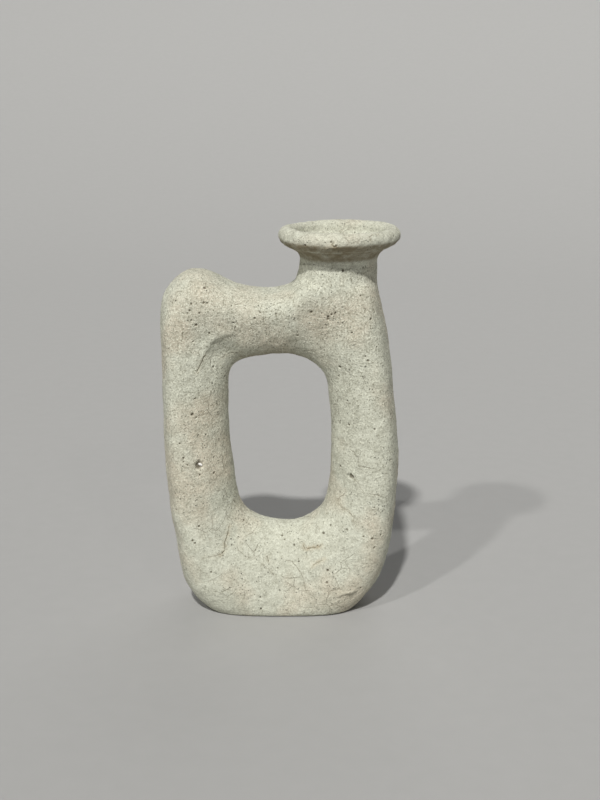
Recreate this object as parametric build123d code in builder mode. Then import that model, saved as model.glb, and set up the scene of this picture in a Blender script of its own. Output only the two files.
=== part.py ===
from build123d import *
from collections import namedtuple
from math import copysign, cos, pi, radians, sin
import os

# Hand-built hollow vase: an upright ring of joined clay sections around an open window, with a
# dished rim over the right leg. Millimetres, +Z up, front at -Y, origin at the centre of the foot.

# ---- driving dimensions ----
WALL = 9.0
SLAB_THICKNESS = 9.0
SQUARENESS = 2.5            # exponent of the legs' superellipse section: 2 is an ellipse
LEAN = 0.28                 # how much more depth a section has on its outer side, per half width
LOWER_SEAM = 100.0          # height of the seams between the base and both legs
UPPER_LEFT_SEAM = 204.0
UPPER_RIGHT_SEAM = 196.0
BRIDGE_LEFT_SEAM = -28.0    # x of the seam between the left shoulder and the bridge
BRIDGE_RIGHT_SEAM = 2.0

NECK_X = 49.1               # the neck and rim stand off centre, over the right leg
NECK_RADIUS = 32.2
NECK_SPREAD = 4.4           # how much wider the neck's bottom is, on the bridge's side
NECK_BOTTOM_DEPTH = 33.4    # half the depth of the neck's bottom, which is oval
NECK_BOTTOM = 289.0
NECK_TOP = 305.0
THROAT_RADIUS = 20.0

TOTAL_HEIGHT = 334.0
RIM_RADIUS = 50.6
LIP_RADIUS = 7.0            # of the round coil that edges the dish
UNDERSIDE_SLOPE = 30.0      # degrees, of the flare's underside where it meets the coil

SEAM_COIL_THICKNESS = 4.0   # inside coils, pressed flat over the seams
SEAM_COIL_WIDTH = 8.0
QUARTER_STEPS = 5           # spline points along each quarter of a section

# ---- the ring, as six stretches from seam to seam ----
# A stretch follows the window's edge and the outside contour, both as (x, z) points in the
# mid-plane. Its depths are half the section's depth at its start, middle and end. The stretches
# run round the window the same way, and each starts where the one before it ends.
Stretch = namedtuple("Stretch", "window contour depths steps")

LOWER_LEFT = [(-37.5, LOWER_SEAM), (-96.2, LOWER_SEAM)]
UPPER_LEFT = [(-44.0, UPPER_LEFT_SEAM), (-100.2, UPPER_LEFT_SEAM)]
BRIDGE_LEFT = [(BRIDGE_LEFT_SEAM, 223.2), (BRIDGE_LEFT_SEAM, 282.8)]
BRIDGE_RIGHT = [(BRIDGE_RIGHT_SEAM, 227.2), (BRIDGE_RIGHT_SEAM, 283.6)]
UPPER_RIGHT = [(40.0, UPPER_RIGHT_SEAM), (95.5, UPPER_RIGHT_SEAM)]
LOWER_RIGHT = [(40.6, LOWER_SEAM), (99.6, LOWER_SEAM)]

BASE = Stretch(
    window=[LOWER_RIGHT[0], (33.0, 85.0), (0.0, 74.6), (-31.0, 87.0), LOWER_LEFT[0]],
    contour=[
        LOWER_RIGHT[1],
        (95.4, 57.0),
        (77.4, 12.0),
        (45.0, -13.0),
        (-45.0, -13.0),
        (-77.0, 12.0),
        (-90.8, 57.0),
        LOWER_LEFT[1],
    ],
    depths=(33.6, 36.8, 33.6),
    steps=12,
)
LEFT_LEG = Stretch(
    window=[LOWER_LEFT[0], (-42.6, 135.0), UPPER_LEFT[0]],
    contour=[LOWER_LEFT[1], (-98.6, 145.0), UPPER_LEFT[1]],
    depths=(33.6, 33.0, 32.7),
    steps=3,
)
LEFT_ELBOW = Stretch(
    window=[UPPER_LEFT[0], (-40.6, 215.0), BRIDGE_LEFT[0]],
    contour=[
        UPPER_LEFT[1],
        (-99.6, 247.0),
        (-91.0, 287.0),
        (-71.0, 297.4),
        (-47.0, 289.4),
        BRIDGE_LEFT[1],
    ],
    depths=(32.7, 32.4, 31.8),
    steps=10,
)
BRIDGE = Stretch(
    window=[BRIDGE_LEFT[0], (-13.0, 226.6), BRIDGE_RIGHT[0]],
    contour=[BRIDGE_LEFT[1], (-14.0, 281.4), BRIDGE_RIGHT[1]],
    depths=(31.8, 31.4, 31.4),
    steps=3,
)
RIGHT_ELBOW = Stretch(
    window=[BRIDGE_RIGHT[0], (24.0, 222.0), (36.0, 211.0), UPPER_RIGHT[0]],
    contour=[
        BRIDGE_RIGHT[1],
        (14.0, 290.5),
        (30.0, 306.0),
        (54.0, 310.0),
        (75.0, 300.0),
        (83.0, 277.0),
        (91.0, 236.0),
        UPPER_RIGHT[1],
    ],
    depths=(31.4, 32.4, 32.4),
    steps=12,
)
RIGHT_LEG = Stretch(
    window=[UPPER_RIGHT[0], (44.0, 140.0), LOWER_RIGHT[0]],
    contour=[UPPER_RIGHT[1], (100.7, 136.0), LOWER_RIGHT[1]],
    depths=(32.4, 33.0, 33.6),
    steps=3,
)


def ring_section(inner, outer, half_depth, inset):
    """Lopsided superellipse face between the window's edge and the contour, drawn in by the inset."""
    along_section = outer - inner
    normal = Vector(-along_section.Z, 0, along_section.X)
    half_width = along_section.length / 2 - inset
    half_depth -= inset
    slant = LEAN * half_depth / half_width
    directions = [(0, 1), (-1, -slant), (0, -1), (1, -slant)]
    with BuildSketch(Plane((inner + outer) / 2, x_dir=along_section, z_dir=normal)) as section:
        with BuildLine():
            for quarter in range(4):
                points = []
                for step in range(QUARTER_STEPS + 1):
                    angle = pi / 2 * (quarter + step / QUARTER_STEPS)
                    across = copysign(abs(cos(angle)) ** (2 / SQUARENESS), cos(angle))
                    deep = copysign(abs(sin(angle)) ** (2 / SQUARENESS), sin(angle))
                    points.append((half_width * across, half_depth * deep * (1 + LEAN * across)))
                Spline(*points, tangents=[directions[quarter], directions[(quarter + 1) % 4]])
        make_face()
    return section.sketch


def ring_sections(stretch, inset=0.0):
    """Sections spaced evenly along a stretch, from seam to seam."""
    window = Spline(*[(x, 0, z) for x, z in stretch.window])
    contour = Spline(*[(x, 0, z) for x, z in stretch.contour])
    start_depth, middle_depth, end_depth = stretch.depths
    sections = []
    for step in range(stretch.steps + 1):
        share = step / stretch.steps
        half_depth = (
            start_depth * (1 - share) * (1 - 2 * share)
            + middle_depth * 4 * share * (1 - share)
            + end_depth * share * (2 * share - 1)
        )
        sections.append(ring_section(window @ share, contour @ share, half_depth, inset))
    return sections


def hollow_tube(stretch):
    """Wall of one stretch of the ring, open at both seams. Used inside a part's block."""
    loft(sections=ring_sections(stretch))
    loft(sections=ring_sections(stretch, WALL), mode=Mode.SUBTRACT)


# ---- base, cut level into the foot slab and the trough above it ----
with BuildPart() as base_form:
    loft(sections=ring_sections(BASE))

with BuildPart() as foot_slab:
    add(base_form.part)
    split(bisect_by=Plane.XY, keep=Keep.TOP)
    split(bisect_by=Plane.XY.offset(SLAB_THICKNESS), keep=Keep.BOTTOM)

with BuildPart() as base_trough:
    add(base_form.part)
    split(bisect_by=Plane.XY.offset(SLAB_THICKNESS), keep=Keep.TOP)
    loft(sections=ring_sections(BASE, WALL), mode=Mode.SUBTRACT)

# ---- legs, shoulders and bridge ----
with BuildPart() as left_column:
    hollow_tube(LEFT_LEG)

with BuildPart() as left_shoulder:
    hollow_tube(LEFT_ELBOW)

with BuildPart() as bridge:
    hollow_tube(BRIDGE)

with BuildPart() as right_shoulder:
    loft(sections=ring_sections(RIGHT_ELBOW))
    split(bisect_by=Plane.XY.offset(NECK_BOTTOM), keep=Keep.BOTTOM)
    loft(sections=ring_sections(RIGHT_ELBOW, WALL), mode=Mode.SUBTRACT)

with BuildPart() as right_column:
    hollow_tube(RIGHT_LEG)

# ---- neck and rim, turned about one upright axis ----
neck_axis = Axis((NECK_X, 0, 0), (0, 0, 1))
lip_x = NECK_X + RIM_RADIUS - LIP_RADIUS
lip_height = TOTAL_HEIGHT - LIP_RADIUS
slope = radians(UNDERSIDE_SLOPE)

with BuildPart() as neck:
    with BuildSketch(Plane.XY.offset(NECK_BOTTOM)):
        with Locations((NECK_X - NECK_SPREAD / 2, 0)):
            Ellipse(NECK_RADIUS + NECK_SPREAD / 2, NECK_BOTTOM_DEPTH)
    with BuildSketch(Plane.XY.offset(NECK_TOP)):
        with Locations((NECK_X, 0)):
            Circle(NECK_RADIUS)
    loft()
    with Locations((NECK_X, 0, NECK_TOP)):
        Hole(THROAT_RADIUS)

with BuildPart() as lip_coil:
    with BuildSketch(Plane.XZ):
        with Locations((lip_x, lip_height)):
            Circle(LIP_RADIUS)
    revolve(axis=neck_axis)

with BuildPart() as rim_flare:
    with BuildSketch(Plane.XZ):
        with BuildLine():
            seat = Line((NECK_X + THROAT_RADIUS, NECK_TOP), (NECK_X + NECK_RADIUS, NECK_TOP))
            neck_curve = ThreePointArc(seat @ 1, (NECK_X + 33.8, 312.2), (NECK_X + 38.4, 316.1))
            coil_foot = (lip_x + LIP_RADIUS * sin(slope), lip_height - LIP_RADIUS * cos(slope))
            underside = Line(neck_curve @ 1, coil_foot)
            coil_cut = Line(underside @ 1, (lip_x, lip_height))
            ThreePointArc(coil_cut @ 1, (NECK_X + 27.0, 318.0), seat @ 0)
        make_face()
    revolve(axis=neck_axis)
    add(lip_coil.part, mode=Mode.SUBTRACT)

pieces = {
    "foot_slab": foot_slab,
    "base_trough": base_trough,
    "left_column": left_column,
    "left_shoulder": left_shoulder,
    "bridge": bridge,
    "right_shoulder": right_shoulder,
    "right_column": right_column,
    "neck": neck,
    "rim_flare": rim_flare,
    "lip_coil": lip_coil,
}

# ---- coils pressed flat along the inside of the seams ----
seams = {
    "lower_left_seam_coil": (BASE, LEFT_LEG),
    "upper_left_seam_coil": (LEFT_LEG, LEFT_ELBOW),
    "bridge_left_seam_coil": (LEFT_ELBOW, BRIDGE),
    "bridge_right_seam_coil": (BRIDGE, RIGHT_ELBOW),
    "upper_right_seam_coil": (RIGHT_ELBOW, RIGHT_LEG),
    "lower_right_seam_coil": (RIGHT_LEG, BASE),
}
for coil_name, (first_stretch, second_stretch) in seams.items():
    with BuildPart() as ring_band:
        extrude(ring_sections(second_stretch, WALL / 2)[0], amount=SEAM_COIL_WIDTH / 2, both=True)
        coil_inside = ring_sections(second_stretch, WALL + SEAM_COIL_THICKNESS)[0]
        extrude(coil_inside, amount=SEAM_COIL_WIDTH, both=True, mode=Mode.SUBTRACT)
    with BuildPart() as seam_coil:
        loft(sections=ring_sections(first_stretch, WALL))
        loft(sections=ring_sections(second_stretch, WALL))
        add(ring_band.part, mode=Mode.INTERSECT)
    pieces[coil_name] = seam_coil

os.makedirs("parts", exist_ok=True)
for name, piece in pieces.items():
    piece.part.label = name
    export_step(piece.part, f"parts/{name}.step")
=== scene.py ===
import math

import bmesh
import bpy
import numpy as np
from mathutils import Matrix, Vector, noise
from mathutils.kdtree import KDTree

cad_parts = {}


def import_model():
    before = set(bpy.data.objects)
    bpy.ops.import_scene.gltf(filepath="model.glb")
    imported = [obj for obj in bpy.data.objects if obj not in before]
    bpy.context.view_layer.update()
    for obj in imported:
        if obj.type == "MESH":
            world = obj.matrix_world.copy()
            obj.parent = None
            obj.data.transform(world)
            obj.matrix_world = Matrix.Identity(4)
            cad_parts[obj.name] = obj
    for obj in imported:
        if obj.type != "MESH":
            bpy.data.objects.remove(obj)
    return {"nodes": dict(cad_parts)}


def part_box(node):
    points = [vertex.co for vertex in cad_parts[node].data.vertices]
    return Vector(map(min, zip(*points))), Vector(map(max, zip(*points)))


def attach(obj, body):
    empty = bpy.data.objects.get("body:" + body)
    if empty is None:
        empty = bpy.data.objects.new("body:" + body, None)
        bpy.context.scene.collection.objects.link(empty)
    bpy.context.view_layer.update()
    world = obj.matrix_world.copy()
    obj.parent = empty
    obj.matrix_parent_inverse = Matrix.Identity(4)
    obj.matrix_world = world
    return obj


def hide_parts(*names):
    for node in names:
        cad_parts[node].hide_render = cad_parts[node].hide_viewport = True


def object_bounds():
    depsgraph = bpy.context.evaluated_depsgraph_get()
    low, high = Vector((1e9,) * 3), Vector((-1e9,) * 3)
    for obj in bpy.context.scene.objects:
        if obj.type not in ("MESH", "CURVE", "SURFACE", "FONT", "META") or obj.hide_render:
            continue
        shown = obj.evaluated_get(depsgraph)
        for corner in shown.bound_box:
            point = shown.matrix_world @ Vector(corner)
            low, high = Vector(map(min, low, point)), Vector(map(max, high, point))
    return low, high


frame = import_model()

# A hand-built, rough, matte clay vase with its front at -Y. The packed clay sections are fused into
# one skin, so that they run into each other. The skin gets the waviness, smears, pits and cracks of
# hand-worked clay, and is then cut at the seams into one closed piece for each section. Metres.

CAD_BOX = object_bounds()
MM = 0.001

# ---- sections, and the sides of each section's box that are seams ----
SEAM_SIDES = {
    "foot_slab": ["+z"],
    "base_trough": ["-z", "+z"],
    "left_column": ["-z", "+z"],
    "left_shoulder": ["-z", "+x"],
    "bridge": ["-x", "+x"],
    "right_shoulder": ["-x", "-z", "+z"],
    "right_column": ["-z", "+z"],
    "neck": ["-z", "+z"],
    "rim_flare": ["-z"],
    "lip_coil": [],
}
RIM_SECTIONS = ["rim_flare", "lip_coil"]
SPARE = 9 * MM                  # how far a cutting box passes the sides that aren't seams
BOX = {section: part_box(section) for section in SEAM_SIDES}

# ---- the skin's mesh ----
VOXEL = 1.25 * MM
SMOOTHING_FACTOR = 0.5
SMOOTHING_ROUNDS = 12
SEAM_ROUNDS = 70                # further smoothing near the seams
SEAM_REACH = 15 * MM
SEAM_CORE = 0.4                 # share of the reach where that smoothing is full
WEIGHT_LEVELS = 10              # steps in which it fades out
FINE_REACH = 1.7 * MM           # faces this close to a pit or a crack are divided
FINEST_REACH = 0.7 * MM         # and those this close are divided again
LEAST_NORMAL = 0.97             # a shorter stored normal is one that a cut has diluted

# ---- the cone between the flare and the lip coil ----
LIP_SEAT = 0.85                 # its distance from the coil's middle, as a share of the coil's radius
LIP_CUT_WIDTH = 22 * MM         # how far it reaches to each side
LIP_CUT_DEPTH = 45 * MM         # and how far from the flare
LIP_CUT_TURNS = 96

# ---- hand-made waviness: size of the bumps, and their height ----
WAVES = [(52 * MM, 1.5 * MM), (21 * MM, 0.65 * MM), (8 * MM, 0.30 * MM)]
GRIT = [(3.8 * MM, 0.22 * MM), (2.1 * MM, 0.18 * MM)]
RIM_GRIT = (4.2 * MM, 0.45 * MM)    # the rim's underside is coarser
RIM_GRIT_START = 4 * MM             # above the flare's lower end
WANDER = (2.6 * MM, 0.5 * MM)       # how crack lines and pit edges waver
CRUMB_WANDER = 2.2                  # and how much more they do at a pit with a crumb
# Where each layer of noise starts, so that no two layers are alike.
WAVE_SEED = 17.3
GRIT_SEED = 61.7
GRIT_SEED_STEP = 9.1
RIM_SEED = 151.9
WANDER_SEED = 101.3
WANDER_SEED_STEP = 31.7

# ---- how marks fade out ----
PIT_FLOOR = 0.35                    # flat middle of a pit, as a share of its radius
PIT_EDGE = 1.1
CRUMB_FLOOR = 0.6
CRUMB_RISE = 0.6                    # height of a crumb, as a share of the pit's depth
CRUMB_ASIDE = 0.35                  # how far it lies from the pit's middle, as shares of its radius
CRUMB_UP = 0.1
CRACK_REACH = 6 * MM
CRACK_TIP = 0.45                    # width of a crack at its ends, as a share of its full width
STAIN_REACH = 2.2 * MM
SMEAR_END = 0.15                    # share of a smear's length over which each end fades
SMEAR_LINE = 0.3 * MM
SMEAR_FACING = 0.3                  # faces whose normal points back more than this are left alone
FOOT_HEIGHT = 4 * MM                # the foot's underside stays flat below this height
# Painted shade on the faces over the window that look down: its strength, and how far below the bridge's
# bottom it reaches.
WINDOW_SHADE = 0.7
WINDOW_MARGIN = 5 * MM

# ---- marks on the front ----
# A place is a share of a section's box, across it and up it, on the face that looks forward. All sizes
# in these tables are in mm.
# Pits: place, radius, depth.
PITS = {
    "left_shoulder": [
        (0.55, 0.90, 1.5, 0.9), (0.54, 0.78, 1.3, 1.1), (0.58, 0.78, 1.1, 0.9), (0.40, 0.77, 1.3, 1.0),
        (0.38, 0.71, 1.1, 0.9), (0.36, 0.69, 0.9, 0.7), (0.49, 0.69, 1.0, 0.9), (0.45, 0.58, 1.5, 1.2),
        (0.36, 0.62, 0.8, 0.7), (0.87, 0.60, 1.1, 0.9), (0.89, 0.56, 0.9, 0.8), (0.41, 0.43, 1.0, 0.8),
        (0.63, 0.18, 1.2, 0.9), (0.74, 0.07, 1.2, 0.9), (0.12, 0.36, 1.2, 0.8),
    ],
    "bridge": [(0.42, 0.75, 1.0, 0.8), (0.85, 0.73, 1.1, 0.9)],
    "right_shoulder": [
        (0.51, 0.27, 1.6, 1.4), (0.73, 0.39, 1.1, 0.9), (0.75, 0.35, 1.4, 1.1), (0.71, 0.20, 1.0, 0.8),
        (0.83, 0.47, 1.1, 0.8), (0.61, 0.60, 1.1, 0.8), (0.43, 0.76, 1.3, 1.0), (0.40, 0.74, 1.4, 1.0),
    ],
    "left_column": [
        (0.44, 0.79, 1.6, 1.3), (0.49, 0.76, 1.1, 0.9), (0.48, 0.92, 1.0, 0.8), (0.61, 0.61, 1.1, 0.9),
        (0.36, 0.37, 1.1, 0.9), (0.31, 0.43, 1.1, 0.9), (0.31, 0.40, 0.9, 0.7), (0.52, 0.28, 1.2, 0.9),
        (0.70, 0.28, 1.2, 0.9), (0.90, 0.03, 1.1, 0.8), (0.83, 0.06, 1.0, 0.8),
    ],
    "right_column": [
        (0.18, 0.34, 1.5, 1.2), (0.27, 0.96, 1.0, 0.8), (0.29, 0.74, 1.2, 0.8), (0.64, 0.73, 1.3, 0.8),
        (0.89, 0.63, 1.2, 0.9),
    ],
    "base_trough": [
        (0.14, 0.82, 1.3, 1.1), (0.11, 0.68, 1.2, 1.0), (0.12, 0.66, 1.1, 0.9), (0.33, 0.80, 1.3, 0.8),
        (0.68, 0.70, 1.4, 1.2), (0.71, 0.78, 1.0, 0.9), (0.89, 0.70, 1.4, 1.1), (0.93, 0.73, 1.1, 1.0),
        (0.85, 0.72, 1.0, 0.8), (0.78, 0.77, 1.1, 0.9), (0.55, 0.58, 1.2, 0.9), (0.90, 0.61, 1.3, 0.9),
    ],
    "lip_coil": [
        (0.93, 0.67, 1.1, 0.7), (0.22, 0.31, 1.3, 0.9), (0.42, 0.60, 1.2, 0.8), (0.46, 0.40, 1.5, 0.9),
    ],
}
# Open pits with a crumb of white grog in them: place, radius, depth, radius of the crumb.
GROG_PITS = {
    "left_column": [(0.51, 0.36, 4.6, 2.6, 1.6)],
    "right_column": [(0.33, 0.27, 2.7, 2.0, 0.7)],
}
# Cracks: points, half width, depth, brownness.
CRACKS = {
    "left_shoulder": [
        ([(0.29, 0.60), (0.30, 0.53), (0.29, 0.45)], 0.40, 0.7, 0.1),
        ([(0.23, 0.86), (0.31, 0.87)], 0.40, 0.6, 0.1),
        ([(0.89, 0.76), (0.95, 0.76)], 0.40, 0.6, 0.0),
        ([(0.44, 0.14), (0.50, 0.24), (0.54, 0.29)], 0.45, 0.7, 0.3),
        ([(0.73, 0.25), (0.84, 0.29), (0.92, 0.30)], 0.35, 0.5, 0.2),
    ],
    "bridge": [
        ([(0.46, 0.84), (0.41, 0.75)], 0.40, 0.6, 0.0),
        ([(0.50, 0.70), (0.51, 0.60)], 0.40, 0.6, 0.0),
    ],
    "right_shoulder": [([(0.10, 0.90), (0.10, 0.86)], 0.45, 0.8, 0.0)],
    "right_column": [
        ([(0.36, 0.26), (0.44, 0.21), (0.46, 0.17), (0.51, 0.13)], 0.31, 0.4, 0.1),
        ([(0.58, 0.13), (0.71, 0.12), (0.97, 0.10)], 0.40, 0.8, 0.1),
        ([(0.65, 0.33), (0.76, 0.37)], 0.35, 0.3, 0.0),
        ([(0.65, 0.27), (0.79, 0.31)], 0.35, 0.3, 0.0),
    ],
    "base_trough": [
        ([(0.27, 0.78), (0.26, 0.70), (0.25, 0.64), (0.25, 0.57), (0.23, 0.53)], 0.45, 0.9, 0.5),
        ([(0.24, 0.54), (0.20, 0.52), (0.15, 0.51)], 0.33, 0.4, 0.2),
        ([(0.39, 0.74), (0.37, 0.69), (0.34, 0.67)], 0.31, 0.4, 0.1),
        ([(0.30, 0.60), (0.31, 0.55), (0.34, 0.49), (0.37, 0.48)], 0.33, 0.4, 0.1),
        ([(0.70, 1.00), (0.74, 1.03), (0.76, 1.08), (0.77, 1.13)], 0.31, 0.4, 0.2),
        ([(0.74, 1.03), (0.74, 0.99), (0.76, 0.96), (0.78, 0.95), (0.81, 0.89), (0.81, 0.84)],
         0.31, 0.4, 0.3),
        ([(0.59, 0.58), (0.60, 0.55), (0.64, 0.57), (0.67, 0.59)], 0.40, 0.7, 0.9),
        ([(0.63, 0.41), (0.65, 0.44), (0.68, 0.47)], 0.40, 0.7, 0.6),
        ([(0.43, 0.49), (0.44, 0.44)], 0.45, 0.8, 0.2),
        ([(0.41, 0.42), (0.44, 0.37), (0.46, 0.32)], 0.31, 0.4, 0.1),
        ([(0.50, 0.46), (0.54, 0.44), (0.56, 0.40), (0.58, 0.34), (0.59, 0.29), (0.60, 0.18)],
         0.33, 0.5, 0.1),
        ([(0.49, 0.32), (0.51, 0.29), (0.55, 0.29), (0.58, 0.30)], 0.31, 0.4, 0.1),
        ([(0.57, 0.47), (0.57, 0.42)], 0.31, 0.4, 0.0),
    ],
    "lip_coil": [
        ([(0.44, 0.62), (0.43, 0.46), (0.45, 0.34)], 0.50, 0.7, 0.5),
        ([(0.80, 0.91), (0.75, 0.94), (0.72, 0.82), (0.73, 0.60)], 0.28, 0.5, 0.2),
    ],
}
# Smears: points, height, reach and fall. The clay stands proud on the left of the line, and falls off
# within the fall on its right.
SMEARS = {
    "left_shoulder": [
        ([(0.46, 0.16), (0.50, 0.29), (0.58, 0.38), (0.65, 0.45), (0.75, 0.49), (0.92, 0.51)], 1.1, 9.0, 4.0),
        ([(1.08, 0.82), (0.95, 0.84), (0.87, 0.86), (0.74, 0.90), (0.62, 0.97)], 1.3, 9.0, 2.0),
    ],
    "base_trough": [
        ([(0.73, 0.12), (0.78, 0.15), (0.83, 0.17)], 1.2, 5.0, 1.0),
        ([(0.76, 0.56), (0.68, 0.46), (0.65, 0.43), (0.61, 0.37)], 0.8, 6.0, 2.0),
    ],
    "lip_coil": [([(0.37, 0.16), (0.42, 0.27), (0.48, 0.37)], 1.0, 4.0, 1.0)],
}
# Dents, and swellings with a depth below zero: place, radius, depth.
DENTS = {
    "left_shoulder": [(0.72, 0.30, 13.0, 1.8), (0.40, 0.88, 15.0, -1.0)],
    "right_shoulder": [(0.30, 0.62, 16.0, 0.7)],
    "base_trough": [(0.80, 0.08, 8.0, 1.0), (0.30, 0.35, 18.0, -0.8), (0.70, 0.30, 16.0, -0.6)],
}

# ---- clay: pale, warm and dark colour, and coarseness ----
BODY_CLAY = ((0.60, 0.608, 0.508, 1), (0.585, 0.54, 0.43, 1), (0.25, 0.242, 0.18, 1), 0.95)
RIM_CLAY = ((0.60, 0.605, 0.505, 1), (0.585, 0.55, 0.445, 1), (0.27, 0.26, 0.20, 1), 0.75)
LUTING_CLAY = ((0.50, 0.47, 0.36, 1), (0.48, 0.42, 0.32, 1), (0.26, 0.23, 0.17, 1), 0.95)
# Brown painted shade under the rim and over the window.
UNDER_SHADE_COLOUR = (0.20, 0.165, 0.10, 1)
CRAZING_COLOUR = (0.25, 0.205, 0.135, 1)
STAIN_COLOUR = (0.36, 0.27, 0.15, 1)
# Painted shade inside the cracks and the pits.
CRACK_SHADE_COLOUR = (0.12, 0.10, 0.065, 1)
PIT_SHADE_COLOUR = (0.11, 0.09, 0.06, 1)
CHALK_COLOUR = (0.95, 0.93, 0.88, 1)
GRAIN_HEIGHTS = (0.05, 0.24)    # metres: the grain is finer below the first and coarser above the second
GRAIN_SHARES = (0.62, 1.08)
CRAZING_WANDER = 0.0022         # how far the crazing lines and pin holes waver
SPECK_LIGHTNESS = 1.4           # light specks, against the pale clay
HOLE_DARKNESS = 0.34            # pin holes, against the dark clay
CLAY_GLOSS = 0.22
RELIEF = 0.95 * MM              # depth of the finest grain

# ---- camera ----
LENS = 55
SENSOR = 36
CAMERA_PLACE = (0.0167, -1.005, 0.4729)
CAMERA_TILT = 15.966            # degrees below the horizon

# ---- light and floor ----
AMBIENT = 0.09
AMBIENT_COLOUR = (0.94, 0.97, 1.0, 1)
SUN_COLOUR = (1.0, 0.99, 0.97)
# Suns: name, azimuth (0 in front, 90 on the right) and elevation in degrees, strength, and softness in
# degrees. The back one is so soft that it casts no second shadow with an edge.
SUNS = [
    ("key", -10, 50, 2.76, 2.5),
    ("left", -36, 46, 0.80, 2.5),
    ("right", 24, 33, 0.08, 2.5),
    ("back", 162, 40, 0.58, 45),
]
FLOOR_COLOURS = ((0.36, 0.358, 0.35, 1), (0.38, 0.378, 0.37, 1))
FLOOR_ROUGHNESS = 0.75
FLOOR_RADIUS = 1.6              # flat part
FLOOR_CURVE = 6.0               # radius of the curve by which the floor starts to rise
FLOOR_SLOPE = 25                # degrees, low enough that the floor casts no shadow on itself
FLOOR_RAMP = 8.0                # length of the straight slope beyond the curve
FLOOR_CURVE_STEPS = 16
FLOOR_STEPS = 96

# ---- marks all round, at random places ----
SEED = 7
ROUND_PITS = 130
ROUND_PIT_HEIGHTS = (0.02, 0.98)        # shares of the vase's height
ROUND_PIT_RADII = (0.7, 1.5)            # mm
ROUND_PIT_DEPTHS = (0.6, 0.9)           # shares of the radius
ROUND_CRACKS = 22
ROUND_CRACK_TURNS = (0.25, 0.75)        # on the back half only
ROUND_CRACK_HEIGHTS = (0.04, 0.95)
ROUND_CRACK_POINTS = (3, 7)
ROUND_CRACK_BEND = 0.6                  # radians, spread of the turn at each point
ROUND_CRACK_SWING = 0.07                # radians round the vase at each point
ROUND_CRACK_STEP = 6 * MM               # height at each point
ROUND_CRACK_GAP = 14 * MM               # a crack with a longer jump has crossed the window, and is dropped
ROUND_CRACK_WIDTHS = (0.20, 0.38)       # mm
ROUND_CRACK_DEPTHS = (0.3, 0.7)         # mm
ROUND_CRACK_STAINS = (0, 0.25)


def linked(name, mesh):
    """A new object in the scene for a mesh."""
    made = bpy.data.objects.new(name, mesh)
    bpy.context.scene.collection.objects.link(made)
    return made


def applied(thing):
    """The object's mesh with its modifiers applied."""
    depsgraph = bpy.context.evaluated_depsgraph_get()
    return bpy.data.meshes.new_from_object(thing.evaluated_get(depsgraph))


def vectors(items, field, kind=np.float64):
    """One row for each item of a mesh's list, such as the place of each vertex."""
    flat = np.empty(len(items) * 3, kind)
    items.foreach_get(field, flat)
    return flat.reshape(-1, 3)


def smoothed(skin, rounds, group=""):
    """Smooths the skin, or only its vertices in a group."""
    smooth = skin.modifiers.new("smooth", "SMOOTH")
    smooth.vertex_group = group
    smooth.factor = SMOOTHING_FACTOR
    smooth.iterations = rounds
    skin.data = applied(skin)
    skin.modifiers.clear()


def fused_skin():
    """One closed skin around all the sections, with the corners at their seams smoothed away."""
    joined = bmesh.new()
    for name in SEAM_SIDES:
        joined.from_mesh(frame["nodes"][name].data)
    mesh = bpy.data.meshes.new("skin")
    joined.to_mesh(mesh)
    joined.free()
    skin = linked("skin", mesh)
    fuse = skin.modifiers.new("fuse", "REMESH")
    fuse.mode = "VOXEL"
    fuse.voxel_size = VOXEL
    smoothed(skin, SMOOTHING_ROUNDS)
    smooth_seams(skin)
    return skin


def smooth_seams(skin):
    """Blends the sections into each other where they meet, all but the lip and its flare."""
    points = vectors(skin.data.vertices, "co")
    weight = np.zeros(len(points))
    for section, sides in SEAM_SIDES.items():
        if section == "rim_flare":
            continue
        low, high = (np.array(corner) for corner in BOX[section])
        for side in sides:
            axis = "xyz".index(side[1])
            seam = high[axis] if side[0] == "+" else low[axis]
            near = 1 - smoothstep(SEAM_CORE * SEAM_REACH, SEAM_REACH, np.abs(points[:, axis] - seam))
            others = [index for index in range(3) if index != axis]
            inside = (points[:, others] > low[others] - SPARE) & (points[:, others] < high[others] + SPARE)
            weight = np.maximum(weight, near * inside.all(axis=1))
    seams = skin.vertex_groups.new(name="seams")
    for level in range(1, WEIGHT_LEVELS + 1):
        chosen = np.flatnonzero(np.round(weight * WEIGHT_LEVELS) == level)
        if len(chosen):
            seams.add(chosen.tolist(), level / WEIGHT_LEVELS, "REPLACE")
    smoothed(skin, SEAM_ROUNDS, seams.name)
    skin.vertex_groups.clear()


def on_front(skin, section, across, up):
    """The point of the skin's front at shares across and up a section's box."""
    low, high = BOX[section]
    start = Vector((low.x + (high.x - low.x) * across, -1, low.z + (high.z - low.z) * up))
    hit, place, _, _ = skin.ray_cast(start, Vector((0, 1, 0)))
    return np.array(place) if hit else None


def on_side(skin, angle, height):
    """The point of the skin met on the way in from outside, at an angle round the vase."""
    outward = Vector((math.sin(angle), -math.cos(angle), 0))
    hit, place, _, _ = skin.ray_cast(outward + Vector((0, 0, height)), -outward)
    return np.array(place) if hit else None


def path_on(points):
    """The points that were met, as one array."""
    return np.array([point for point in points if point is not None])


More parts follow.
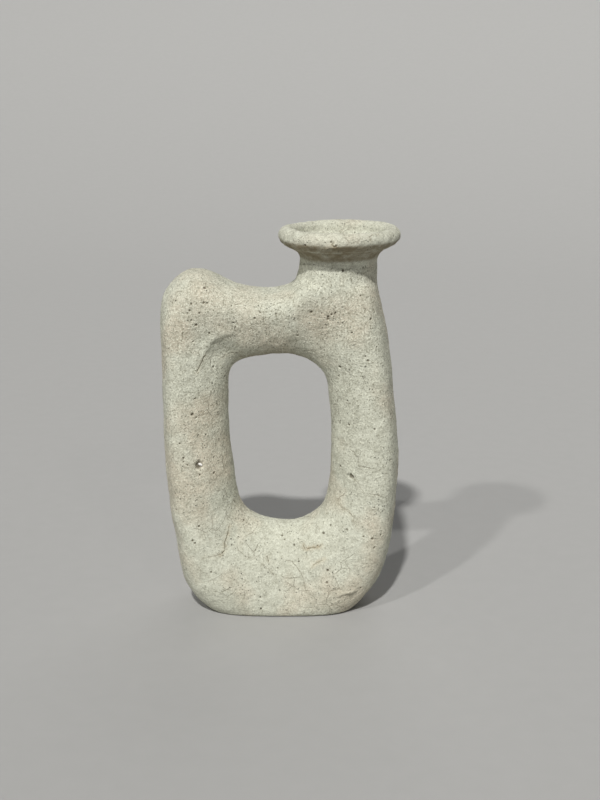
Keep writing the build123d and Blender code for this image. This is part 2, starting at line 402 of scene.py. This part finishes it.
def front_marks(skin):
    """Every pit, crack, smear and dent of the front, with its place on the skin. Metres."""
    pits, cracks, smears, dents = [], [], [], []
    for section, found in PITS.items():
        for across, up, radius, depth in found:
            pits.append((on_front(skin, section, across, up), radius * MM, depth * MM, 0))
    for section, found in GROG_PITS.items():
        for across, up, radius, depth, crumb in found:
            pits.append((on_front(skin, section, across, up), radius * MM, depth * MM, crumb * MM))
    for section, found in CRACKS.items():
        for points, width, depth, brown in found:
            path = path_on(on_front(skin, section, *point) for point in points)
            cracks.append((path, width * MM, depth * MM, brown))
    for section, found in SMEARS.items():
        for points, height, reach, fall in found:
            path = path_on(on_front(skin, section, *point) for point in points)
            smears.append((path, height * MM, reach * MM, fall * MM))
    for section, found in DENTS.items():
        for across, up, radius, depth in found:
            dents.append((on_front(skin, section, across, up), radius * MM, depth * MM))
    return pits, cracks, smears, dents


def round_marks(skin):
    """Small pits on all sides, and hairline cracks at the back, at random places."""
    chance = np.random.default_rng(SEED)
    top = CAD_BOX[1].z
    pits, cracks = [], []
    while len(pits) < ROUND_PITS:
        place = on_side(skin, chance.uniform(0, math.tau), chance.uniform(*ROUND_PIT_HEIGHTS) * top)
        radius = chance.uniform(*ROUND_PIT_RADII) * MM
        if place is not None:
            pits.append((place, radius, radius * chance.uniform(*ROUND_PIT_DEPTHS), 0))
    while len(cracks) < ROUND_CRACKS:
        angle = chance.uniform(*ROUND_CRACK_TURNS) * math.tau
        height = chance.uniform(*ROUND_CRACK_HEIGHTS) * top
        turn = chance.uniform(0, math.tau)
        points = []
        for _ in range(chance.integers(*ROUND_CRACK_POINTS)):
            points.append(on_side(skin, angle, height))
            turn += chance.normal(0, ROUND_CRACK_BEND)
            angle += ROUND_CRACK_SWING * math.cos(turn)
            height += ROUND_CRACK_STEP * math.sin(turn)
        path = path_on(points)
        if len(path) > 2 and np.linalg.norm(np.diff(path, axis=0), axis=1).max() < ROUND_CRACK_GAP:
            width = chance.uniform(*ROUND_CRACK_WIDTHS) * MM
            depth = chance.uniform(*ROUND_CRACK_DEPTHS) * MM
            cracks.append((path, width, depth, chance.uniform(*ROUND_CRACK_STAINS)))
    return pits, cracks


def refine(mesh, pits, cracks, reach):
    """Divides the faces near the pits and along the cracks."""
    places = [(place, radius) for place, radius, _, _ in pits]
    for path, width, _, _ in cracks:
        for start, end in zip(path[:-1], path[1:]):
            count = max(2, int(np.linalg.norm(end - start) / MM))
            places += [(start + (end - start) * step / count, width) for step in range(count + 1)]
    tree = KDTree(len(places))
    for index, (place, _) in enumerate(places):
        tree.insert(place, index)
    tree.balance()
    cut = bmesh.new()
    cut.from_mesh(mesh)
    near = set()
    for face in cut.faces:
        _, index, distance = tree.find(face.calc_center_median())
        if distance < places[index][1] + reach:
            near.update(face.edges)
    bmesh.ops.subdivide_edges(cut, edges=list(near), cuts=1, use_grid_fill=True)
    cut.to_mesh(mesh)
    cut.free()


def bumps(points, size, seed):
    """Smooth noise from -1 to 1 with bumps of that size."""
    return np.array([noise.noise(Vector(point)) for point in points / size + seed])


def smoothstep(low, high, value):
    """0 up to the low value, 1 from the high value on, and a soft S between them."""
    share = np.clip((value - low) / (high - low), 0, 1)
    return share * share * (3 - 2 * share)


def near_box(points, path, reach):
    """Which points are within reach of the box around a path."""
    return np.all((points > path.min(0) - reach) & (points < path.max(0) + reach), axis=1)


def from_path(points, path):
    """Distance from each point to a path, its share along it, and on which side it lies from the front."""
    best = np.full(len(points), np.inf)
    side = np.zeros(len(points))
    share = np.zeros(len(points))
    for index, (start, end) in enumerate(zip(path[:-1], path[1:])):
        run = end - start
        along = np.clip((points - start) @ run / (run @ run), 0, 1)
        offset = points - start - along[:, None] * run
        distance = np.linalg.norm(offset, axis=1)
        closer = distance < best
        best = np.where(closer, distance, best)
        side = np.where(closer, run[0] * offset[:, 2] - run[2] * offset[:, 0], side)
        share = np.where(closer, (index + along) / (len(path) - 1), share)
    return best, share, side


def roughness(points, under):
    """Waviness and grit as a height for each point, and the body's grit alone."""
    rise = np.zeros(len(points))
    for layer, (size, height) in enumerate(WAVES):
        rise += height * bumps(points, size, layer * WAVE_SEED)
    rough = np.zeros(len(points))
    for layer, (size, height) in enumerate(GRIT):
        rough += height * bumps(points, size, GRIT_SEED + layer * GRIT_SEED_STEP)
    size, height = RIM_GRIT
    rise += rough + under * height * bumps(points, size, RIM_SEED)
    return rise, rough


def press_pit(points, bent, rise, paint, pit):
    """One open pit with painted shade in it, and a crumb of grog in it if it has one."""
    place, radius, depth, crumb = pit
    near = near_box(points, place[None], radius * 2)
    ragged = points[near] + (CRUMB_WANDER if crumb else 1) * (bent[near] - points[near])
    distance = np.linalg.norm(ragged - place, axis=1)
    bowl = 1 - smoothstep(PIT_FLOOR * radius, PIT_EDGE * radius, distance)
    rise[near] -= depth * bowl
    paint["open_pit"][near] = np.maximum(paint["open_pit"][near], bowl)
    if crumb:
        aside = [CRUMB_ASIDE * radius, 0, CRUMB_UP * radius]
        off = np.linalg.norm(ragged - place - aside, axis=1)
        grain = 1 - smoothstep(CRUMB_FLOOR * crumb, crumb * PIT_EDGE, off)
        rise[near] += CRUMB_RISE * depth * grain
        paint["chalk"][near] = np.maximum(paint["chalk"][near], grain)


def press_crack(points, bent, rise, paint, mark):
    """One crack, narrower towards its ends, with painted shade in its gap and its brown stain."""
    path, width, depth, shade = mark
    near = near_box(points, path, CRACK_REACH)
    distance, share, _ = from_path(bent[near], path)
    narrow = width * (CRACK_TIP + (1 - CRACK_TIP) * np.sqrt(np.clip(4 * share * (1 - share), 0, 1)))
    gap = np.exp(-(distance / narrow) ** 2)
    rise[near] -= depth * gap
    paint["crack"][near] = np.maximum(paint["crack"][near], gap)
    stain = shade * np.exp(-(distance / STAIN_REACH) ** 2)
    paint["brown"][near] = np.maximum(paint["brown"][near], stain)


def press_smear(points, bent, normals, rise, smear):
    """One smear, only on faces that don't look back."""
    path, height, reach, fall = smear
    near = near_box(points, path, reach * 1.5) & (normals[:, 1] < SMEAR_FACING)
    distance, share, side = from_path(bent[near], path)
    level = np.where(side > 0, 1 - smoothstep(SMEAR_LINE, reach, distance),
                     1 - smoothstep(0, fall, distance))
    ends = smoothstep(0, SMEAR_END, share), smoothstep(0, SMEAR_END, 1 - share)
    rise[near] += height * level * ends[0] * ends[1]


def sculpt(skin, pits, cracks, smears, dents):
    """Moves the skin along its normals, and stores what the material paints as attributes."""
    mesh = skin.data
    points = vectors(mesh.vertices, "co")
    normals = vectors(mesh.vertex_normals, "vector")
    height = points[:, 2]
    paint = {name: np.zeros(len(points)) for name in ("crack", "open_pit", "brown", "chalk")}
    # Faces that look down under the rim get coarser grit and brown painted shade; those that look down over
    # the window get painted shade as well.
    under = smoothstep(0.1, 0.5, -normals[:, 2]) * (height > BOX["rim_flare"][0].z + RIM_GRIT_START)
    over_window = (height > BOX["bridge"][0].z - WINDOW_MARGIN) & (height < BOX["bridge"][1].z)
    window_shade = WINDOW_SHADE * over_window * smoothstep(0.55, 0.95, -normals[:, 2])
    paint["under_shade"] = np.maximum(under, window_shade)
    rise, rough = roughness(points, under)
    # The grit's height alone; the material paints shade where it is low.
    paint["rough"] = rough / sum(height for _, height in GRIT)
    size, swing = WANDER
    bent = points.copy()
    for axis in range(3):
        bent[:, axis] += swing * bumps(points, size, WANDER_SEED + WANDER_SEED_STEP * axis)
    for place, radius, depth in dents:
        rise -= depth * np.exp(-((points - place) ** 2).sum(1) / (0.5 * radius * radius))
    for smear in smears:
        press_smear(points, bent, normals, rise, smear)
    for pit in pits:
        press_pit(points, bent, rise, paint, pit)
    for mark in cracks:
        press_crack(points, bent, rise, paint, mark)
    rise *= 1 - smoothstep(0.5, 0.9, -normals[:, 2]) * (height < FOOT_HEIGHT)
    points += rise[:, None] * normals
    points[:, 2] = np.maximum(points[:, 2], 0)
    mesh.vertices.foreach_set("co", points.ravel())
    for name, values in paint.items():
        mesh.attributes.new(name, "FLOAT", "POINT").data.foreach_set("value", values.astype(np.float32))
    mesh.update()
    whole = vectors(mesh.vertex_normals, "vector", np.float32)
    mesh.attributes.new("whole_normal", "FLOAT_VECTOR", "POINT").data.foreach_set("vector", whole.ravel())


def cutting_box(section):
    """A box that ends at the section's seams and passes its other sides."""
    low, high = BOX[section]
    corners = {}
    for index, axis in enumerate("xyz"):
        corners["-" + axis] = low[index] - (0 if "-" + axis in SEAM_SIDES[section] else SPARE)
        corners["+" + axis] = high[index] + (0 if "+" + axis in SEAM_SIDES[section] else SPARE)
    box = bmesh.new()
    bmesh.ops.create_cube(box, size=1)
    for vertex in box.verts:
        vertex.co = [corners[("+" if place > 0 else "-") + axis] for place, axis in zip(vertex.co, "xyz")]
    mesh = bpy.data.meshes.new("cutter")
    box.to_mesh(mesh)
    box.free()
    return linked("cutter", mesh)


def lip_cutter():
    """A ring around the lip coil, cut off by a cone where the coil sits on the flare."""
    low, high = BOX["lip_coil"]
    axis = (low + high) / 2
    tube = (high.z - low.z) / 2
    turn_radius = (high.x - low.x) / 2 - tube
    seat = Vector((-1, -1)).normalized()          # towards the flare, in radius and height
    across = Vector((seat.y, -seat.x))
    base = Vector((turn_radius, axis.z)) + seat * tube * LIP_SEAT
    corners = [base - across * LIP_CUT_WIDTH, base + across * LIP_CUT_WIDTH]
    corners += [corners[1] - seat * LIP_CUT_DEPTH, corners[0] - seat * LIP_CUT_DEPTH]
    ring = bmesh.new()
    rows = []
    for turn in range(LIP_CUT_TURNS):
        angle = math.tau * turn / LIP_CUT_TURNS
        rows.append([
            ring.verts.new((axis.x + radius * math.cos(angle), axis.y + radius * math.sin(angle), z))
            for radius, z in corners
        ])
    for turn in range(LIP_CUT_TURNS):
        here, after = rows[turn], rows[(turn + 1) % LIP_CUT_TURNS]
        for side in range(4):
            ring.faces.new((here[side], after[side], after[(side + 1) % 4], here[(side + 1) % 4]))
    bmesh.ops.recalc_face_normals(ring, faces=ring.faces)
    mesh = bpy.data.meshes.new("lip_cutter")
    ring.to_mesh(mesh)
    ring.free()
    return linked("lip_cutter", mesh)


def cut(source, name, *steps):
    """A closed piece of the source: each step is a cutter and what is done with it."""
    piece = linked(name, source.data)
    for cutter, operation in steps:
        boolean = piece.modifiers.new("cut", "BOOLEAN")
        boolean.solver = "MANIFOLD"
        boolean.operation = operation
        boolean.object = cutter
    piece.data = applied(piece)
    piece.modifiers.clear()
    return piece


def shade_as_one(piece, skin_tree, skin_normals):
    """Smooth shading with the whole skin's normals, so that seams don't show."""
    mesh = piece.data
    mesh.polygons.foreach_set("use_smooth", [True] * len(mesh.polygons))
    normals = vectors(mesh.attributes["whole_normal"].data, "vector", np.float32)
    cut_edge = np.flatnonzero(np.linalg.norm(normals, axis=1) < LEAST_NORMAL)
    for index in cut_edge:
        _, nearest, _ = skin_tree.find(mesh.vertices[index].co)
        normals[index] = skin_normals[nearest]
    mesh.normals_split_custom_set_from_vertices([tuple(normal) for normal in normals])
    mesh.attributes.remove(mesh.attributes["whole_normal"])


# ---- materials ----
def node(tree, kind, inputs=(), **settings):
    """A shader node with its settings, and its inputs as numbers or as links."""
    made = tree.nodes.new(kind)
    for name, value in settings.items():
        setattr(made, name, value)
    for name, value in dict(inputs).items():
        if isinstance(value, bpy.types.NodeSocket):
            tree.links.new(value, made.inputs[name])
        else:
            made.inputs[name].default_value = value
    return made


def mixed(tree, share, first, second, blend="MIX"):
    """A colour between two colours."""
    mix = node(tree, "ShaderNodeMix", data_type="RGBA", blend_type=blend)
    for socket, value in ((mix.inputs[0], share), (mix.inputs[6], first), (mix.inputs[7], second)):
        if isinstance(value, bpy.types.NodeSocket):
            tree.links.new(value, socket)
        else:
            socket.default_value = value
    return mix.outputs[2]


def ranged(tree, value, low, high, to_low=0.0, to_high=1.0):
    """A value stretched from one range to another, and kept inside it."""
    return node(tree, "ShaderNodeMapRange", {
        "Value": value, "From Min": low, "From Max": high, "To Min": to_low, "To Max": to_high,
    }).outputs["Result"]


def maths(tree, operation, first, second):
    """One sum with two values."""
    made = node(tree, "ShaderNodeMath", operation=operation)
    for socket, value in zip(made.inputs, (first, second)):
        if isinstance(value, bpy.types.NodeSocket):
            tree.links.new(value, socket)
        else:
            socket.default_value = value
    return made.outputs[0]


def clay(name, pale, warm, dark, coarseness):
    """Rough fired clay: patches, gritty grain, pin holes, crazing, and the painted cracks and pits, with
    painted shade in them, in the grit's hollows, under the rim and over the window.
    """
    material = bpy.data.materials.new(name)
    material.use_nodes = True
    tree = material.node_tree
    shader = tree.nodes["Principled BSDF"]
    place = node(tree, "ShaderNodeTexCoord").outputs["Object"]

    def cloud(scale, detail=2.0, roughness=0.5):
        return node(tree, "ShaderNodeTexNoise", {
            "Vector": place, "Scale": scale, "Detail": detail, "Roughness": roughness,
        }).outputs["Fac"]

    def painted(attribute):
        return node(tree, "ShaderNodeAttribute", attribute_name=attribute).outputs["Fac"]

    def pin_holes(scale, least, most, size):
        """Small irregular holes, more of them in some areas than in others."""
        cells = node(tree, "ShaderNodeTexVoronoi", {"Vector": uneven, "Scale": scale, "Randomness": 1.0})
        chosen = node(tree, "ShaderNodeSeparateColor", {"Color": cells.outputs["Color"]}).outputs["Red"]
        crowded = ranged(tree, cloud(38, 2), 0.40, 0.66, least, most)
        reach = ranged(tree, maths(tree, "SUBTRACT", crowded, chosen), 0, 0.12, 0, size)
        return ranged(tree, maths(tree, "SUBTRACT", reach, cells.outputs["Distance"]), 0, 0.08)

    wander = node(tree, "ShaderNodeTexNoise", {"Vector": place, "Scale": 420.0, "Detail": 2.0})
    shift = node(tree, "ShaderNodeVectorMath", {0: wander.outputs["Color"], 1: (CRAZING_WANDER,) * 3},
                 operation="MULTIPLY")
    uneven = node(tree, "ShaderNodeVectorMath", {0: place, 1: shift.outputs[0]}, operation="ADD").outputs[0]

    # patches and mottling
    patches = ranged(tree, cloud(22, 3), 0.48, 0.66)
    colour = mixed(tree, patches, pale, warm)
    mottle = ranged(tree, cloud(115, 4, 0.6), 0.35, 0.68)
    colour = mixed(tree, maths(tree, "MULTIPLY", mottle, 0.36), colour, dark)

    # gritty grain, coarser higher up, with dark and light specks
    grain = cloud(560, 3, 0.7)
    height = node(tree, "ShaderNodeSeparateXYZ", {"Vector": place}).outputs["Z"]
    coarser = ranged(tree, height, *GRAIN_HEIGHTS, *(share * coarseness for share in GRAIN_SHARES))
    colour = mixed(tree, ranged(tree, grain, 0.51, 0.66, 0, coarser), colour, dark)
    lighter = tuple(min(1.0, channel * SPECK_LIGHTNESS) for channel in pale[:3]) + (1,)
    specks = maths(tree, "MULTIPLY", ranged(tree, cloud(840, 2, 0.6), 0.51, 0.64, 0, 0.60), coarser)
    colour = mixed(tree, specks, colour, lighter)

    # brown painted shade under the rim and over the window, and painted shade in the grit's hollows
    under_shade_share = maths(tree, "MULTIPLY", painted("under_shade"), ranged(tree, cloud(150, 3), 0.30, 0.60, 0.50, 0.95))
    colour = mixed(tree, under_shade_share, colour, UNDER_SHADE_COLOUR)
    # painted shade where the grit is low
    hollow_shade = ranged(tree, painted("rough"), -0.75, 0.05, 0.36, 0)
    colour = mixed(tree, hollow_shade, colour, dark)

    # crazing and pin holes
    crazing = node(tree, "ShaderNodeTexVoronoi", {"Vector": uneven, "Scale": 74.0},
                   feature="DISTANCE_TO_EDGE")
    hairline = ranged(tree, crazing.outputs["Distance"], 0.004, 0.024, 1, 0)
    crazed = maths(tree, "MULTIPLY", hairline, ranged(tree, cloud(31, 2), 0.53, 0.64, 0, 0.40))
    colour = mixed(tree, crazed, colour, CRAZING_COLOUR)
    holes = maths(tree, "MAXIMUM", pin_holes(310, 0.05, 0.36, 0.20), pin_holes(560, 0.05, 0.34, 0.26))
    deep = tuple(channel * HOLE_DARKNESS for channel in dark[:3]) + (1,)
    colour = mixed(tree, maths(tree, "MULTIPLY", holes, 0.75), colour, deep)

    # the marks that the skin carries: brown stains, painted shade in the cracks and pits, and white crumbs
    stain = maths(tree, "MULTIPLY", painted("brown"), ranged(tree, cloud(260, 3), 0.30, 0.60, 0.10, 0.60))
    colour = mixed(tree, stain, colour, STAIN_COLOUR)
    # painted shade in the crack's gap
    gap = maths(tree, "MULTIPLY", painted("crack"), ranged(tree, cloud(330, 2), 0.35, 0.60, 0.25, 0.80))
    colour = mixed(tree, gap, colour, CRACK_SHADE_COLOUR)
    # painted shade in the pit
    pit_share = ranged(tree, painted("open_pit"), 0.25, 0.9, 0, 0.80)
    colour = mixed(tree, pit_share, colour, PIT_SHADE_COLOUR)
    colour = mixed(tree, painted("chalk"), colour, CHALK_COLOUR)
    tree.links.new(colour, shader.inputs["Base Color"])

    tree.links.new(ranged(tree, grain, 0.3, 0.7, 0.82, 0.96), shader.inputs["Roughness"])
    shader.inputs["Specular IOR Level"].default_value = CLAY_GLOSS
    relief = maths(tree, "SUBTRACT", grain, maths(tree, "MAXIMUM", holes, crazed))
    bump = node(tree, "ShaderNodeBump", {
        "Height": relief, "Strength": 1.0, "Distance": RELIEF * coarseness,
    })
    tree.links.new(bump.outputs["Normal"], shader.inputs["Normal"])
    return material


def floor_material():
    """Plain pale floor with a faint unevenness."""
    material = bpy.data.materials.new("floor")
    material.use_nodes = True
    tree = material.node_tree
    shader = tree.nodes["Principled BSDF"]
    place = node(tree, "ShaderNodeTexCoord").outputs["Object"]
    cloud = node(tree, "ShaderNodeTexNoise", {"Vector": place, "Scale": 60.0, "Detail": 3.0})
    colour = mixed(tree, cloud.outputs["Fac"], *FLOOR_COLOURS)
    tree.links.new(colour, shader.inputs["Base Color"])
    shader.inputs["Roughness"].default_value = FLOOR_ROUGHNESS
    return material


# ---- camera, light and floor ----
def camera():
    """In front of the vase and a little above it, tilted down."""
    data = bpy.data.cameras.new("camera")
    data.lens = LENS
    data.sensor_width = SENSOR
    made = bpy.data.objects.new("camera", data)
    made.location = CAMERA_PLACE
    made.rotation_euler = (math.radians(90 - CAMERA_TILT), 0, 0)
    bpy.context.scene.collection.objects.link(made)
    bpy.context.scene.camera = made


def sun(name, azimuth, elevation, strength, softness):
    """A distant soft light."""
    turn, lift = math.radians(azimuth), math.radians(elevation)
    away = Vector((math.sin(turn) * math.cos(lift), -math.cos(turn) * math.cos(lift), math.sin(lift)))
    data = bpy.data.lights.new(name, "SUN")
    data.angle = math.radians(softness)
    data.energy = strength
    data.color = SUN_COLOUR
    made = bpy.data.objects.new(name, data)
    made.rotation_euler = away.to_track_quat("Z", "Y").to_euler()
    bpy.context.scene.collection.objects.link(made)


def world():
    """Even light from all sides."""
    made = bpy.data.worlds.new("studio")
    made.use_nodes = True
    background = made.node_tree.nodes["Background"]
    background.inputs["Color"].default_value = AMBIENT_COLOUR
    background.inputs["Strength"].default_value = AMBIENT
    bpy.context.scene.world = made
    bpy.context.scene.view_settings.view_transform = "Standard"


def studio_floor():
    """A round floor that rises gently far from the vase."""
    profile = [(0, 0), (FLOOR_RADIUS, 0)]
    for step in range(1, FLOOR_CURVE_STEPS + 1):
        angle = math.radians(FLOOR_SLOPE) * step / FLOOR_CURVE_STEPS
        profile.append((FLOOR_RADIUS + FLOOR_CURVE * math.sin(angle), FLOOR_CURVE * (1 - math.cos(angle))))
    edge_radius, edge_height = profile[-1]
    profile.append((edge_radius + FLOOR_RAMP * math.cos(angle), edge_height + FLOOR_RAMP * math.sin(angle)))
    sweep = bmesh.new()
    line = [sweep.verts.new((radius, 0, height)) for radius, height in profile]
    edges = [sweep.edges.new(pair) for pair in zip(line[:-1], line[1:])]
    bmesh.ops.spin(
        sweep, geom=line + edges, axis=(0, 0, 1), cent=(0, 0, 0), angle=math.tau, steps=FLOOR_STEPS,
    )
    bmesh.ops.remove_doubles(sweep, verts=sweep.verts, dist=0.1 * MM)
    bmesh.ops.recalc_face_normals(sweep, faces=sweep.faces)
    bmesh.ops.reverse_faces(sweep, faces=sweep.faces)
    mesh = bpy.data.meshes.new("floor")
    sweep.to_mesh(mesh)
    sweep.free()
    mesh.polygons.foreach_set("use_smooth", [True] * len(mesh.polygons))
    floor = linked("floor", mesh)
    floor.data.materials.append(floor_material())


# ---- the scene ----
camera()
world()
studio_floor()
for name, azimuth, elevation, strength, softness in SUNS:
    sun(name, azimuth, elevation, strength, softness)

skin = fused_skin()
front_pits, front_cracks, smears, dents = front_marks(skin)
other_pits, other_cracks = round_marks(skin)
pits = front_pits + other_pits
cracks = front_cracks + other_cracks
for reach in (FINE_REACH, FINEST_REACH):
    refine(skin.data, pits, cracks, reach)
sculpt(skin, pits, cracks, smears, dents)

skin_normals = vectors(skin.data.attributes["whole_normal"].data, "vector", np.float32)
skin_tree = KDTree(len(skin_normals))
for index, vertex in enumerate(skin.data.vertices):
    skin_tree.insert(vertex.co, index)
skin_tree.balance()

body_clay = clay("body_clay", *BODY_CLAY)
rim_clay = clay("rim_clay", *RIM_CLAY)
luting_clay = clay("luting_clay", *LUTING_CLAY)

lip_ring = lip_cutter()
for section in SEAM_SIDES:
    box = cutting_box(section)
    steps = [(box, "INTERSECT")]
    if section == "rim_flare":
        steps.append((lip_ring, "DIFFERENCE"))
    if section == "lip_coil":
        steps.append((lip_ring, "INTERSECT"))
    piece = cut(skin, "clay_" + section, *steps)
    shade_as_one(piece, skin_tree, skin_normals)
    piece.data.materials.clear()
    piece.data.materials.append(rim_clay if section in RIM_SECTIONS else body_clay)
    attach(piece, "root")
    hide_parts(section)
    bpy.data.objects.remove(box)
bpy.data.objects.remove(lip_ring)
bpy.data.objects.remove(skin)

for name, coil in frame["nodes"].items():
    if name not in SEAM_SIDES:
        coil.data.materials.clear()
        coil.data.materials.append(luting_clay)
